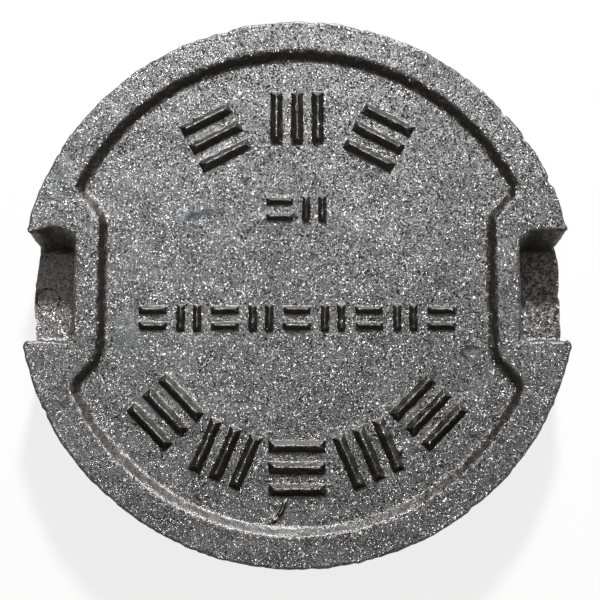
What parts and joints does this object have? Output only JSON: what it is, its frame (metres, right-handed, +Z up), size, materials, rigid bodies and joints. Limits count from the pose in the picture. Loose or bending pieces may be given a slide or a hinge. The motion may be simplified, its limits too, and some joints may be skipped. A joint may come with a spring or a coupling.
{
  "type": "gas valve box cover",
  "caption": "Round cast-iron valve box cover with a raised rim, a sunk treaded panel, two open side lifting pockets and a hollow underside.",
  "frame": {"origin": "middle of the flat bottom ring, on the plane that the cover rests on", "axes": "+Z up out of the top face; X through the two side pockets; +Y towards the upper arc of tread pads"},
  "size_m": [0.1792, 0.1836, 0.0286],
  "materials": {
    "cast_iron": "as-cast grey iron, rough"
  },
  "bodies": {
    "root": {"valve_box_cover": "cast_iron"}
  },
  "joints": []
}
